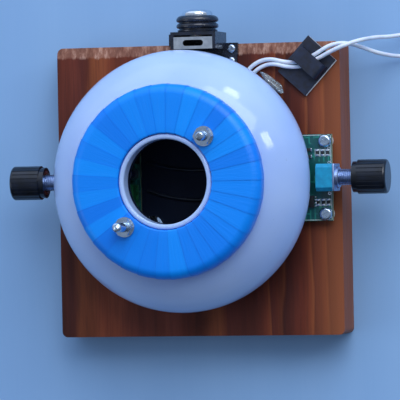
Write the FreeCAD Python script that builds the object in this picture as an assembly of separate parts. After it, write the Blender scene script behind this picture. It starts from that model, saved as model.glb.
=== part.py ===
import FreeCAD, Part
import math
import os

# A home-built toroid unit on a wooden board, in millimetres.
# Origin: centre of the board's underside.  +X right, +Y back, +Z up.

V = FreeCAD.Vector
UP, RIGHT, BACK = V(0, 0, 1), V(1, 0, 0), V(0, 1, 0)

# ---- board ----
board_x = 127.0
board_y = 127.0
board_t = 19.0
board_corner_r = 2.5
worn_bevel_w = 4.6  # worn strip along the back edge
worn_bevel_d = 0.9

# ---- dome: a squat shell, round in section, standing on the board ----
dome_x = -3.3
dome_y = 4.1
dome_r = 56.8
dome_rise = 29.0  # equator to where the curve would close
dome_equator_h = 18.5  # above the board
dome_h = 39.0  # flat top, above the board
dome_wall = 2.4
neck_wall = 2.2
neck_h = 7.6
neck_lip_round = 0.9
well_r = 18.2
liner_t = 0.6  # black coat inside the shell
skin_gap = 0.05

# ---- toroid on the dome's flat top ----
ring_gap = 0.4  # neck to tape
ring_r = 41.8
ring_h = 8.4
ring_roll_r = 4.2
ring_bore_edge_r = 1.2
tape_t = 0.5
former_hub_w = 8.6
former_floor_t = 1.4
winding_gap = 0.15
winding_edge_r = 2.4
core_inset = 1.8

# ---- clamping studs, M4 ----
stud_pitch_r = 26.0
stud_angle = 47.0
stud_r = 2.0
stud_free_r = 1.8  # mean radius of the free thread above the top nuts
stud_tip_bevel = 0.4
stud_hole_gap = 0.2
stud_rise = {"back": 8.0, "front": 13.5}  # above the ring
nut_af = 7.0
nut_t = 3.2
nut_crown_in = 0.25
nut_crown_t = 0.35
washer_r = 4.3
washer_t = 0.8
counterbore_r = 6.2
counterbore_d = 9.0
stud_tail = 1.8  # below the nut under the board

# ---- control modules, one each side ----
module_y = 4.6
module_reach = {"right": 71.2, "left": 66.2}  # board centre to the knob's inner face
axis_h = 11.0  # control shaft above the board
pcb_x = 30.0
pcb_y = 37.4
pcb_t = 1.6
pcb_margin = 3.0  # screw to edge
module_gap = 1.0  # round a module where it passes the dome
spacer_h = 3.0
spacer_r = 2.9
screw_r = 1.45
screw_head_r = 2.9
screw_head_t = 2.0
screw_depth = 8.0  # into the board
screw_gap = 0.05
screw_end_gap = 0.5  # screw tip to the bottom of its hole
pot_d = 7.3  # along the shaft
pot_w = 11.8
pot_wall = 0.9
pot_over = 2.6  # plate past the circuit board's edge
plate_t = 0.9
boss_t = 1.3
boss_r = 4.7
bush_r = 3.5
bush_l = 7.6
shaft_r = 3.0
shaft_gap = 0.05
rotor_r = 4.6
rotor_t = 1.2
rotor_gap = 0.6
pin_r = 0.4
pin_pitch = 2.5
terminal_d = 8.0
terminal_h = 9.0
terminal_pitch = 3.5
terminal_along = -6.8
capacitor_r = 3.9
capacitor_h = 10.5
capacitor_along = 3.1
transistor_w = 10.0
transistor_t = 4.4
transistor_along = 9.8
knob_l = 15.0
knob_r = 7.4
knob_collar_l = 2.2
knob_collar_in = 0.7
knob_flutes = 24
knob_flute_r = 0.25
knob_end_r = 1.1
knob_roof = 2.6
knob_bush_gap = 0.5
insert_t = 1.3
insert_l = 1.5

# ---- push switch on the back edge ----
switch_x = 3.3
switch_axis_h = 11.0
frame_x = 20.0
frame_y = 7.4
frame_h = 19.6
frame_wall = 1.4
frame_back = 5.0  # past the board's back edge
ear_x = 5.0
ear_y = 6.0
ear_t = 1.6
tab_x = 5.4  # the two tabs that show beside the frame
tab_y = 5.2
tab_t = 1.6
tab_in = {"left": -2.1, "right": 2.2}  # screw's distance inside the board's back edge
terminal_drop = 3.6  # lug under the left tab, behind the board
top_plate_back = 2.2  # the plate's edge to the frame's back face
top_plate_t = 0.8
slot_l = 9.0
slot_w = 2.6
bezel_r = 9.4
bezel_l = 7.2
bezel_round = 0.9
rib_count = 3
rib_w = 1.5
rib_d = 0.7
cap_r = 6.6
cap_gap = 0.08
cap_rise = 4.4
cap_land = 0.6  # straight edge proud of the bezel
cap_wall = 1.0
cap_roof = 0.8  # below the bezel's lip
cap_stop = 0.5  # skirt to bezel floor when pushed in
bezel_floor = 1.2
push_travel = 2.5
plunger_r = 2.6
plunger_gap = 0.08
plunger_head_r = 3.5
plunger_head_t = 0.8
plunger_play = 0.1
spring_r = 4.4
spring_wire = 0.8
contact_w = 1.2
switch_screw_r = 0.95
switch_screw_head_r = 1.9
switch_screw_head_t = 1.3
switch_screw_depth = 7.0

# ---- stick-on cable clip ----
clip_x = 49.3
clip_y = 53.1
clip_turn = 47.6
clip_l = 20.4
clip_w = 16.2
foam_t = 0.9
clip_base_t = 1.1
strap_w = 7.2
strap_t = 1.1
strap_l = 14.8
strap_side = 1.9
strap_leg = 1.5
channel_h = 3.2

# ---- twin leads ----
lead_r = 0.9
lead_arch_r = 2.6  # the dome's cut-out for the leads
lead_arch_rise = 1.6
lead_cut_l = 24.0
floor_gap = 0.02
# Routes from the dome's cut-out, through the clip, over the board's corner and down to the floor.
lead_a_route = [
    (17.2, 43.6, 20.2),
    (21.6, 50.2, 20.7),
    (26.6, 56.0, 21.6),
    (33.2, 58.1, 22.2),
    (40.0, 55.3, 22.5),
    (46.8, 54.6, 22.4),
    (53.4, 57.6, 22.5),
    (59.4, 61.4, 22.9),
    (66.0, 62.7, 22.8),
    (72.6, 60.9, 19.4),
    (78.2, 58.3, 13.4),
    (83.8, 56.8, 6.4),
    (91.0, 56.4, 1.8),
    (99.4, 57.6, 0.94),
    (107.4, 56.0, 0.94),
]
lead_b_route = [
    (19.4, 42.2, 20.2),
    (23.6, 48.6, 20.7),
    (28.4, 53.4, 21.6),
    (34.4, 55.4, 22.2),
    (40.6, 53.0, 22.5),
    (47.3, 52.5, 22.4),
    (54.2, 55.6, 22.9),
    (60.4, 58.6, 25.0),
    (66.6, 61.8, 26.5),
    (73.2, 65.2, 23.6),
    (79.0, 66.9, 16.6),
    (84.4, 67.4, 9.0),
    (91.0, 68.6, 2.6),
    (98.8, 72.4, 0.94),
    (106.4, 77.6, 0.94),
]
coil_mean_r = 10.0
coil_turns_out = 3  # turns side by side
coil_layers = 3
coil_pitch = 1.9
coil_lead_in = 6.2  # tube's end to where it meets the outer turn

# ---- glue wedge and inner wires ----
glue_from = 41.0
glue_to = 55.0
glue_out = 1.6
glue_h = 9.0
hookup_r = 0.8


# ---- worked-out places ----
top = board_t
back_y = board_y / 2
dome_z = top + dome_equator_h
flat_z = top + dome_h
ring_top = flat_z + ring_h
neck_r = well_r + neck_wall
ring_bore_r = neck_r + ring_gap
axis_z = top + axis_h
pcb_z = top + spacer_h
pcb_top = pcb_z + pcb_t
SIDES = {"right": 1.0, "left": -1.0}
frame_y1 = back_y + frame_back
frame_y0 = frame_y1 - frame_y
bezel_lip = frame_y1 + bezel_l
switch_z = top + switch_axis_h
frame_z0 = top + 0.02


# ---- small shape helpers ----
def box(x0, x1, y0, y1, z0, z1):
    return Part.makeBox(x1 - x0, y1 - y0, z1 - z0, V(x0, y0, z0))


def rod(start, direction, radius, length):
    return Part.makeCylinder(radius, length, start, direction)


def tube(start, direction, radius, bore, length):
    return rod(start, direction, radius, length).cut(rod(start, direction, bore, length))


def hexagon(centre, across_flats, height, bore):
    corner = across_flats / math.sqrt(3)
    points = []
    for i in range(7):
        turn = math.radians(60 * i)
        points.append(centre + V(corner * math.cos(turn), corner * math.sin(turn), 0))
    nut = Part.Face(Part.makePolygon(points)).extrude(UP * height)
    body = height - nut_crown_t
    crown = Part.makeCone(corner - nut_crown_in, corner - nut_crown_in + body, body, centre, UP)
    crown = crown.fuse(rod(centre + UP * body, UP, corner - nut_crown_in, nut_crown_t))
    return nut.common(crown).cut(rod(centre, UP, bore, height))


def revolve(edges, centre_x, centre_y, angle=360.0):
    face = Part.Face(Part.Wire(edges))
    solid = face.revolve(V(0, 0, 0), UP, angle)
    solid.translate(V(centre_x, centre_y, 0))
    return solid


def line(a, b):
    return Part.LineSegment(V(a[0], 0, a[1]), V(b[0], 0, b[1])).toShape()


def loop(points):
    return [line(a, b) for a, b in zip(points, points[1:] + points[:1])]


def ring_section(r0, r1, z0, z1, outer_round, bore_round):
    """Edges of a ring's section: square below, rounded at its two top corners."""
    k = 1 - math.sqrt(0.5)
    low_in, low_out = (r0, z0), (r1, z0)
    out_a, out_b = (r1, z1 - outer_round), (r1 - outer_round, z1)
    in_a, in_b = (r0 + bore_round, z1), (r0, z1 - bore_round)
    out_mid = V(r1 - outer_round * k, 0, z1 - outer_round * k)
    in_mid = V(r0 + bore_round * k, 0, z1 - bore_round * k)
    return [
        line(low_in, low_out),
        line(low_out, out_a),
        Part.Arc(V(out_a[0], 0, out_a[1]), out_mid, V(out_b[0], 0, out_b[1])).toShape(),
        line(out_b, in_a),
        Part.Arc(V(in_a[0], 0, in_a[1]), in_mid, V(in_b[0], 0, in_b[1])).toShape(),
        line(in_b, low_in),
    ]


def stud_places():
    places = {}
    for name, turn in (("back", stud_angle), ("front", stud_angle + 180)):
        a = math.radians(turn)
        places[name] = V(dome_x + stud_pitch_r * math.cos(a), dome_y + stud_pitch_r * math.sin(a), 0)
    return places


def at_studs(make):
    return Part.makeCompound([make(place) for place in stud_places().values()])


def screw_places(side):
    """Corners where a control module's circuit board is screwed down."""
    out = SIDES[side]
    edge = pcb_edge(side)
    near, far = edge - pcb_margin, edge - pcb_x + pcb_margin
    half = pcb_y / 2 - pcb_margin
    return [V(out * u, module_y + w, 0) for u in (near, far) for w in (-half, half)]


def pcb_edge(side):
    """Distance from the board's centre to a circuit board's outer edge."""
    return plate_face(side) - pot_over - plate_t


def plate_face(side):
    """Distance from the board's centre to the outer face of a control's metal plate."""
    return module_reach[side] - (bush_l - knob_bush_depth()) - boss_t


def knob_bush_depth():
    return insert_l


def span(side, u0, u1):
    """Low and high X for two distances from the board's centre."""
    ends = (SIDES[side] * u0, SIDES[side] * u1)
    return min(ends), max(ends)


def side_box(side, u0, u1, y0, y1, z0, z1):
    x0, x1 = span(side, u0, u1)
    return box(x0, x1, y0, y1, z0, z1)


def side_rod(side, u0, u1, radius):
    """A rod on a control's shaft axis."""
    return rod(V(SIDES[side] * u0, module_y, axis_z), RIGHT * SIDES[side], radius, u1 - u0)


# ---- board ----
def make_board():
    board = box(-board_x / 2, board_x / 2, -board_y / 2, back_y, 0, top)
    uprights = [e for e in board.Edges if abs(e.Vertexes[0].Z - e.Vertexes[1].Z) > board_t / 2]
    board = board.makeFillet(board_corner_r, uprights)
    bevel = Part.Face(
        Part.makePolygon(
            [
                V(-board_x, back_y - worn_bevel_w, top),
                V(-board_x, back_y + worn_bevel_w, top - 2 * worn_bevel_d),
                V(-board_x, back_y + worn_bevel_w, top + worn_bevel_d),
                V(-board_x, back_y - worn_bevel_w, top),
            ]
        )
    ).extrude(RIGHT * 2 * board_x)
    board = board.cut(bevel)
    for place in stud_places().values():
        board = board.cut(rod(place, UP, stud_r + stud_hole_gap, top))
        board = board.cut(rod(place, UP, counterbore_r, counterbore_d))
    for side in SIDES:
        for place in screw_places(side):
            board = board.cut(pilot(place, screw_r, screw_depth))
    for place in switch_screw_places() + [switch_tab_places()["right"]]:
        board = board.cut(pilot(place, switch_screw_r, switch_screw_depth))
    return board


def pilot(place, radius, depth, surface=top):
    """A screw's hole, as deep as stated under a surface."""
    return rod(place + UP * (surface - depth), UP, radius + screw_gap, depth)


# ---- dome ----
def dome_curve(inset, z0, z1):
    """The shell's bulging section between two heights, moved inwards by inset."""
    wide, high = dome_r - inset, dome_rise - inset
    ellipse = Part.Ellipse(V(wide, 0, dome_z), V(0, 0, dome_z + high), V(0, 0, dome_z))
    turns = [math.asin((z - dome_z) / high) for z in (z0, z1)]
    return Part.ArcOfEllipse(ellipse, *turns).toShape()


def shell_section(inset, thick, bore):
    """Edges of an open-bottomed shell with a flat roof and a round hole."""
    roof = flat_z - inset
    outer = dome_curve(inset, top, roof)
    inner = dome_curve(inset + thick, top, roof - thick)
    o0, o1 = outer.Vertexes[0].Point, outer.Vertexes[-1].Point
    i0, i1 = inner.Vertexes[0].Point, inner.Vertexes[-1].Point
    return [
        outer,
        line((o1.x, roof), (bore, roof)),
        line((bore, roof), (bore, roof - thick)),
        line((bore, roof - thick), (i1.x, roof - thick)),
        inner,
        line((i0.x, top), (o0.x, top)),
    ]


def module_cut(side):
    """The way through the dome's wall for one control module."""
    edge, gap = pcb_edge(side), module_gap
    low = side_box(
        side,
        edge - pcb_x,
        edge + dome_r,
        module_y - pcb_y / 2 - gap,
        module_y + pcb_y / 2 + gap,
        top,
        pcb_top + 2.6,
    )
    high = side_box(
        side,
        edge - pcb_x / 2,
        edge + dome_r,
        module_y - pot_w / 2 - gap,
        module_y + pot_w / 2 + gap,
        top,
        axis_z + pot_w / 2 + gap,
    )
    return low.fuse(high)


def lead_cut():
    """The small arch where the twin leads come out."""
    a, b = V(*lead_a_route[0]), V(*lead_b_route[0])
    middle = (a + b) * 0.5
    out = V(middle.x - dome_x, middle.y - dome_y, 0).normalize()
    start = V(middle.x, middle.y, top + lead_arch_rise) - out * lead_cut_l / 2
    round_top = rod(start, out, lead_arch_r, lead_cut_l)
    across = UP.cross(out) * lead_arch_r
    foot, crown = V(start.x, start.y, top), V(start.x, start.y, top + lead_arch_rise)
    outline = [foot - across, foot + across, crown + across, crown - across, foot - across]
    return round_top.fuse(Part.Face(Part.makePolygon(outline)).extrude(out * lead_cut_l))


def cut_ways(shell):
    for side in SIDES:
        shell = shell.cut(module_cut(side))
    return shell.cut(lead_cut())


def make_dome():
    shell = revolve(shell_section(0, dome_wall, well_r), dome_x, dome_y)
    low, high = flat_z - dome_wall / 2, flat_z + neck_h
    neck = revolve(ring_section(well_r, neck_r, low, high, neck_lip_round, neck_lip_round), dome_x, dome_y)
    shell = shell.fuse(neck).removeSplitter()
    return cut_ways(stud_holes(shell))


def make_liner():
    liner = revolve(shell_section(dome_wall + skin_gap, liner_t, well_r), dome_x, dome_y)
    return cut_ways(stud_holes(liner))


# ---- toroid ----
def stud_holes(solid):
    for place in stud_places().values():
        solid = solid.cut(rod(place, UP, stud_r + stud_hole_gap, ring_top + 1))
    return solid


def make_tape():
    outer = revolve(
        ring_section(ring_bore_r, ring_r, flat_z, ring_top, ring_roll_r, ring_bore_edge_r), dome_x, dome_y
    )
    hollow = revolve(
        ring_section(
            ring_bore_r + tape_t,
            ring_r - tape_t,
            flat_z + tape_t,
            ring_top - tape_t,
            ring_roll_r - tape_t,
            ring_bore_edge_r - tape_t,
        ),
        dome_x,
        dome_y,
    )
    return stud_holes(outer.cut(hollow))


def make_former():
    r0 = ring_bore_r + tape_t + skin_gap
    r1 = ring_r - tape_t - skin_gap
    z0, z1 = flat_z + tape_t + skin_gap, ring_top - tape_t - skin_gap
    hub = r0 + former_hub_w
    floor = z0 + former_floor_t
    bevel = ring_bore_edge_r - tape_t + 0.3
    outline = [(r0, z0), (r1, z0), (r1, floor), (hub, floor), (hub, z1), (r0 + bevel, z1), (r0, z1 - bevel)]
    section = loop(outline)
    return stud_holes(revolve(section, dome_x, dome_y))


def winding_bounds():
    r0 = ring_bore_r + tape_t + skin_gap + former_hub_w + winding_gap
    r1 = ring_r - tape_t - skin_gap - winding_gap
    z0 = flat_z + tape_t + skin_gap + former_floor_t + winding_gap
    return r0, r1, z0, ring_top - tape_t - skin_gap


def make_winding():
    r0, r1, z0, z1 = winding_bounds()
    outside = revolve(ring_section(r0, r1, z0, z1, ring_roll_r - tape_t, winding_edge_r), dome_x, dome_y)
    k0, k1, c0, c1 = core_bounds()
    inside = revolve(
        loop([(k0 - winding_gap, c0 - winding_gap), (k1 + winding_gap, c0 - winding_gap),
              (k1 + winding_gap, c1 + winding_gap), (k0 - winding_gap, c1 + winding_gap)]),
        dome_x,
        dome_y,
    )
    return outside.cut(inside)


def core_bounds():
    r0, r1, z0, z1 = winding_bounds()
    return r0 + core_inset, r1 - core_inset, z0 + core_inset / 2, z1 - core_inset


def make_core():
    k0, k1, c0, c1 = core_bounds()
    return revolve(loop([(k0, c0), (k1, c0), (k1, c1), (k0, c1)]), dome_x, dome_y)


# ---- studs ----
def make_studs():
    """Threaded rods; the free end above each top nut is its own, slightly finer wall."""
    rods = []
    for name, place in stud_places().items():
        low = counterbore_d - washer_t - nut_t - stud_tail
        nut_top = ring_top + washer_t + nut_t
        high = ring_top + stud_rise[name]
        bar = rod(place + UP * low, UP, stud_r, nut_top - low)
        bar = bar.fuse(rod(place + UP * nut_top, UP, stud_free_r, high - nut_top)).removeSplitter()
        circles = [e for e in bar.Edges if len(e.Vertexes) == 1]
        tips = [e for e in circles if abs(e.CenterOfMass.z - nut_top) > stud_tip_bevel]
        rods.append(bar.makeChamfer(stud_tip_bevel, tips))
    return Part.makeCompound(rods)


def nuts_at(z):
    return at_studs(lambda place: hexagon(place + UP * z, nut_af, nut_t, stud_r))


def washers_at(z):
    return at_studs(lambda place: tube(place + UP * z, UP, washer_r, stud_r, washer_t))


# ---- control modules ----
def make_pcb(side):
    edge = pcb_edge(side)
    half = pcb_y / 2
    board = side_box(side, edge - pcb_x, edge, module_y - half, module_y + half, pcb_z, pcb_top)
    for place in screw_places(side):
        board = board.cut(rod(place + UP * pcb_z, UP, screw_r + screw_gap, pcb_t))
    return board


def make_spacers(side):
    return Part.makeCompound(
        [tube(p + UP * top, UP, spacer_r, screw_r + screw_gap, spacer_h) for p in screw_places(side)]
    )


def pan_head_screw(place, seat_z, radius, head_r, head_t, depth):
    """A cross-recess pan-head screw whose head sits at seat_z."""
    shank = rod(place + UP * (seat_z - depth), UP, radius, depth)
    head = rod(place + UP * seat_z, UP, head_r, head_t)
    rim = [e for e in head.Edges if len(e.Vertexes) == 1 and e.CenterOfMass.z > seat_z + head_t / 2]
    head = head.makeFillet(head_t * 0.6, rim)
    arm, width, deep = head_r * 0.62, head_r * 0.28, head_t * 0.55
    for turn in (0, 90):
        cut = box(-arm, arm, -width / 2, width / 2, 0, deep)
        cut.rotate(V(0, 0, 0), UP, turn + 25)
        cut.translate(place + UP * (seat_z + head_t - deep))
        head = head.cut(cut)
    return head.fuse(shank).removeSplitter()


def make_pcb_screws(side):
    depth = spacer_h + pcb_t + screw_depth - screw_end_gap
    return Part.makeCompound(
        [pan_head_screw(p, pcb_top, screw_r, screw_head_r, screw_head_t, depth) for p in screw_places(side)]
    )


def pot_back(side):
    """Distance from the board's centre to the inner face of a control's housing."""
    return plate_face(side) - plate_t - pot_d


def make_pot_body(side):
    inner, outer = pot_back(side), plate_face(side) - plate_t
    half = pot_w / 2
    body = side_box(side, inner, outer, module_y - half, module_y + half, axis_z - half, axis_z + half)
    lengthwise = [
        e for e in body.Edges
        if abs(e.Vertexes[0].X - e.Vertexes[1].X) > pot_d / 2 and e.CenterOfMass.z > axis_z
    ]
    body = body.makeChamfer(1.6, lengthwise)
    return body.cut(side_rod(side, inner + pot_wall, outer, half - pot_wall))


def make_pot_bush(side):
    face = plate_face(side)
    half = pot_w / 2
    y0, y1 = module_y - half, module_y + half
    plate = side_box(side, face - plate_t, face, y0, y1, axis_z - half, axis_z + half)
    boss = side_rod(side, face, face + boss_t, boss_r)
    bush = side_rod(side, face + boss_t, face + boss_t + bush_l, bush_r)
    whole = plate.fuse(boss).fuse(bush)
    return whole.cut(side_rod(side, face - plate_t, face + boss_t + bush_l, shaft_r + shaft_gap))


def make_shaft(side):
    rotor = pot_back(side) + pot_wall + rotor_gap
    tip = module_reach[side] + knob_l - knob_roof - 0.3
    bar = side_rod(side, rotor, tip, shaft_r)
    return bar.fuse(side_rod(side, rotor, rotor + rotor_t, rotor_r)).removeSplitter()


def make_pins(side):
    """Three legs from the housing down into the circuit board."""
    legs = []
    u = pot_back(side) + 1.2
    for i in (-1, 0, 1):
        at = V(SIDES[side] * u, module_y + i * pin_pitch, pcb_top)
        legs.append(rod(at, UP, pin_r, axis_z - pot_w / 2 - pcb_top))
    return Part.makeCompound(legs)


def knob_fit():
    """Bore radii of a knob: on the shaft, round the bush and round its metal insert."""
    bush_way = bush_r + knob_bush_gap
    return shaft_r, bush_way, bush_way + insert_t


def make_knob(side):
    k = module_reach[side]
    body = side_rod(side, k + knob_collar_l, k + knob_l, knob_r)
    end = [
        e for e in body.Edges
        if len(e.Vertexes) == 1 and abs(e.CenterOfMass.x) > k + knob_l / 2
    ]
    body = body.makeFillet(knob_end_r, end)
    for i in range(knob_flutes):
        turn = 2 * math.pi * i / knob_flutes
        start = V(
            SIDES[side] * (k + knob_collar_l),
            module_y + knob_r * math.cos(turn),
            axis_z + knob_r * math.sin(turn),
        )
        body = body.cut(rod(start, RIGHT * SIDES[side], knob_flute_r, knob_l - knob_collar_l - knob_end_r))
    body = body.fuse(side_rod(side, k, k + knob_collar_l, knob_r - knob_collar_in))
    on_shaft, round_bush, round_insert = knob_fit()
    body = body.cut(side_rod(side, k, k + knob_l - knob_roof, on_shaft))
    body = body.cut(side_rod(side, k, k + insert_l + 0.6, round_bush))
    return body.cut(side_rod(side, k, k + insert_l, round_insert))


def make_insert(side):
    _, round_bush, round_insert = knob_fit()
    start = V(SIDES[side] * module_reach[side], module_y, axis_z)
    return tube(start, RIGHT * SIDES[side], round_insert, round_bush, insert_l)


def part_place(side, inward, along):
    """A point on a circuit board: inward from its outer edge, along it from the shaft's line."""
    return V(SIDES[side] * (pcb_edge(side) - inward), module_y + along, pcb_top)


def block(place, dx, dy, dz):
    return box(place.x - dx / 2, place.x + dx / 2, place.y - dy / 2, place.y + dy / 2, place.z, place.z + dz)


def make_terminals(side):
    at = part_place(side, pcb_x - terminal_d / 2 - 1.0, terminal_along)
    body = block(at, terminal_d, 3 * terminal_pitch, terminal_h)
    for i in (-1, 0, 1):
        along = i * terminal_pitch
        body = body.cut(rod(at + V(0, along, terminal_h - 2.0), UP, 1.4, 2.0))
        mouth = block(at + V(-SIDES[side] * (terminal_d / 2 - 1.0), along, 1.2), 2.0, 2.4, 3.0)
        body = body.cut(mouth)
    return body


def make_capacitor(side):
    at = part_place(side, pcb_x - capacitor_r - 1.0, capacitor_along)
    can = rod(at, UP, capacitor_r, capacitor_h)
    rims = [e for e in can.Edges if len(e.Vertexes) == 1 and e.CenterOfMass.z > at.z + capacitor_h / 2]
    return can.makeFillet(0.7, rims)


def make_transistor(side):
    at = part_place(side, pcb_x - transistor_w / 2 - 0.3, transistor_along)
    body = block(at, transistor_w, transistor_t, 9.0)
    tab = block(at + V(0, 1.55, 9.0), transistor_w, 1.3, 5.6)
    hole = rod(at + V(0, -4, 12.0), BACK, 1.8, 8)
    return body.fuse(tab).cut(hole).removeSplitter()


def make_chips(side):
    """Small surface parts: a driver chip and rows of resistors by the outer edge."""
    half = pcb_y / 2
    parts = [block(part_place(side, 10.0, -half + 8.4), 3.9, 5.0, 1.4)]
    for along in (-half + 8.0, half - 8.0):
        for i in range(3):
            parts.append(block(part_place(side, 1.8 + 2.3 * i, along), 1.3, 2.2, 0.6))
    for i in range(2):
        parts.append(block(part_place(side, 10.0, half - 9.6 + 3.0 * i), 2.4, 1.4, 1.0))
    return Part.makeCompound(parts)


# ---- push switch ----
def switch_screw_places():
    y = back_y - worn_bevel_w - ear_y / 2
    reach = frame_x / 2 + ear_x / 2
    return [V(switch_x - reach, y, 0), V(switch_x + reach, y, 0)]


def switch_tab_places():
    """Screws at the frame's sides: one in the board, one in the lug behind its edge."""
    return {
        side: V(switch_x + SIDES[side] * (frame_x / 2 + tab_x / 2), back_y - tab_in[side], 0)
        for side in SIDES
    }


def switch_rod(y0, y1, radius):
    return rod(V(switch_x, y0, switch_z), BACK, radius, y1 - y0)


def make_switch_frame():
    """An open-topped box with two ears, screwed to the board and reaching past its edge."""
    x0, x1 = switch_x - frame_x / 2, switch_x + frame_x / 2
    y_ear = back_y - worn_bevel_w - ear_y
    shell = box(x0, x1, y_ear, frame_y1, frame_z0, frame_z0 + frame_h)
    shell = shell.cut(box(x0, x1, y_ear, frame_y0, frame_z0 + ear_t, frame_z0 + frame_h))
    shell = shell.cut(
        box(x0 + frame_wall, x1 - frame_wall, frame_y0 + frame_wall, frame_y1 - frame_wall,
            frame_z0 + frame_wall, frame_z0 + frame_h)
    )
    for s in (-1, 1):
        ear_in, ear_out = switch_x + s * frame_x / 2, switch_x + s * (frame_x / 2 + ear_x)
        low_x, high_x = sorted((ear_in, ear_out))
        ear = box(low_x, high_x, y_ear, y_ear + ear_y, frame_z0, frame_z0 + ear_t)
        shell = shell.fuse(ear)
    for side, place in switch_tab_places().items():
        s = SIDES[side]
        inner, outer = switch_x + s * (frame_x / 2 - frame_wall), switch_x + s * (frame_x / 2 + tab_x)
        y0, y1 = place.y - tab_y / 2, place.y + tab_y / 2
        shell = shell.fuse(box(min(inner, outer), max(inner, outer), y0, y1, frame_z0, frame_z0 + tab_t))
        if tab_in[side] < 0:
            lug = box(min(inner, outer), max(inner, outer), back_y + screw_gap, y1,
                      frame_z0 - terminal_drop, frame_z0)
            shell = shell.fuse(lug)
        shell = shell.cut(pilot(place + UP * tab_t, switch_screw_r, tab_t + switch_screw_depth, frame_z0))
    for place in switch_screw_places():
        shell = shell.cut(rod(place + UP * frame_z0, UP, switch_screw_r + screw_gap, ear_t))
    plate_edge = frame_y1 - top_plate_back
    shell = shell.cut(box(x0 + frame_wall, x1 - frame_wall, frame_y0, plate_edge,
                          frame_z0 + frame_h - top_plate_t, frame_z0 + frame_h))
    return shell.cut(switch_rod(frame_y1 - frame_wall, frame_y1, plunger_r + plunger_gap)).removeSplitter()


def make_switch_plate():
    x0, x1 = switch_x - frame_x / 2 + frame_wall, switch_x + frame_x / 2 - frame_wall
    z1 = frame_z0 + frame_h
    y0, y1 = frame_y0, frame_y1 - top_plate_back
    plate = box(x0, x1, y0, y1, z1 - top_plate_t, z1)
    middle = (y0 + y1) / 2
    reach = (slot_l - slot_w) / 2
    slot = box(switch_x - reach, switch_x + reach, middle - slot_w / 2, middle + slot_w / 2, z1 - 2, z1)
    for s in (-1, 1):
        slot = slot.fuse(rod(V(switch_x + s * reach, middle, z1 - 2), UP, slot_w / 2, 2))
    return plate.cut(slot)


def make_bezel():
    body = switch_rod(frame_y1, bezel_lip, bezel_r - rib_d)
    gap = (bezel_l - rib_count * rib_w) / (rib_count - 1)
    for i in range(rib_count):
        start = frame_y1 + i * (rib_w + gap)
        body = body.fuse(switch_rod(start, start + rib_w, bezel_r))
    lip = [e for e in body.Edges if len(e.Vertexes) == 1 and abs(e.CenterOfMass.y - bezel_lip) < rib_w / 2]
    body = body.makeFillet(bezel_round, lip)
    body = body.cut(switch_rod(frame_y1 + bezel_floor, bezel_lip, cap_r + cap_gap))
    return body.cut(switch_rod(frame_y1, bezel_lip, plunger_r + plunger_gap)).removeSplitter()


def make_cap():
    """A domed cap with a skirt that slides in the bezel."""
    skirt_end = frame_y1 + bezel_floor + push_travel + cap_stop
    edge = bezel_lip + cap_land
    rise = cap_rise - cap_land
    dome_radius = (cap_r**2 + rise**2) / (2 * rise)
    ball = Part.makeSphere(dome_radius, V(switch_x, edge + rise - dome_radius, switch_z))
    crown = ball.common(switch_rod(edge, edge + cap_rise, cap_r))
    whole = switch_rod(skirt_end, edge, cap_r).fuse(crown).removeSplitter()
    return whole.cut(switch_rod(skirt_end, bezel_lip - cap_roof, cap_r - cap_wall))


def make_plunger():
    """The stem, with a head inside the frame that keeps the cap from coming out."""
    inside = frame_y1 - frame_wall - plunger_play - plunger_head_t
    stem = switch_rod(inside, bezel_lip - cap_roof, plunger_r)
    return stem.fuse(switch_rod(inside, inside + plunger_head_t, plunger_head_r)).removeSplitter()


def make_spring():
    """The return spring's outer shape, between the bezel's floor and the cap."""
    start, end = frame_y1 + bezel_floor + skin_gap, bezel_lip - cap_roof - skin_gap
    return switch_rod(start, end, spring_r).cut(switch_rod(start, end, spring_r - spring_wire))


def make_contacts():
    """Two blades inside the frame and their tails below it."""
    y = frame_y0 + frame_wall
    blades = []
    for s in (-1, 1):
        x = switch_x + s * 5.0
        blades.append(box(x - contact_w, x + contact_w, y, y + 0.5, frame_z0 + frame_wall, switch_z + 2.0))
    return Part.makeCompound(blades)


def make_switch_screws():
    """Four small screws: two in the hidden ears, two in the tabs that show."""
    deep = switch_screw_depth - screw_end_gap
    sizes = (switch_screw_r, switch_screw_head_r, switch_screw_head_t)
    hidden = [pan_head_screw(p, frame_z0 + ear_t, *sizes, ear_t + deep) for p in switch_screw_places()]
    tabs = switch_tab_places()
    short = tab_t + terminal_drop - screw_end_gap
    shown = [
        pan_head_screw(tabs["right"], frame_z0 + tab_t, *sizes, tab_t + deep),
        pan_head_screw(tabs["left"], frame_z0 + tab_t, *sizes, short),
    ]
    return Part.makeCompound(hidden + shown)


# ---- cable clip, built square and then turned into place ----
def clip_placed(shape):
    shape.rotate(V(0, 0, 0), UP, clip_turn)
    shape.translate(V(clip_x, clip_y, top))
    return shape


def make_foam():
    return clip_placed(box(-clip_l / 2, clip_l / 2, -clip_w / 2, clip_w / 2, 0, foam_t))


def make_clip_base():
    base = box(-clip_l / 2, clip_l / 2, -clip_w / 2, clip_w / 2, foam_t, foam_t + clip_base_t)
    return clip_placed(base)


def make_strap():
    """A bridge over the leads, standing on the clip's base."""
    z0 = foam_t + clip_base_t
    x0, x1 = strap_side - strap_w / 2, strap_side + strap_w / 2
    half = strap_l / 2
    arch = box(x0, x1, -half, half, z0, z0 + channel_h + strap_t)
    tops = [
        e for e in arch.Edges
        if e.CenterOfMass.z > z0 + channel_h and abs(e.Vertexes[0].X - e.Vertexes[1].X) > strap_w / 2
    ]
    arch = arch.makeFillet(1.8, tops)
    inner = half - strap_leg
    return clip_placed(arch.cut(box(x0, x1, -inner, inner, z0, z0 + channel_h)))


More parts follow.
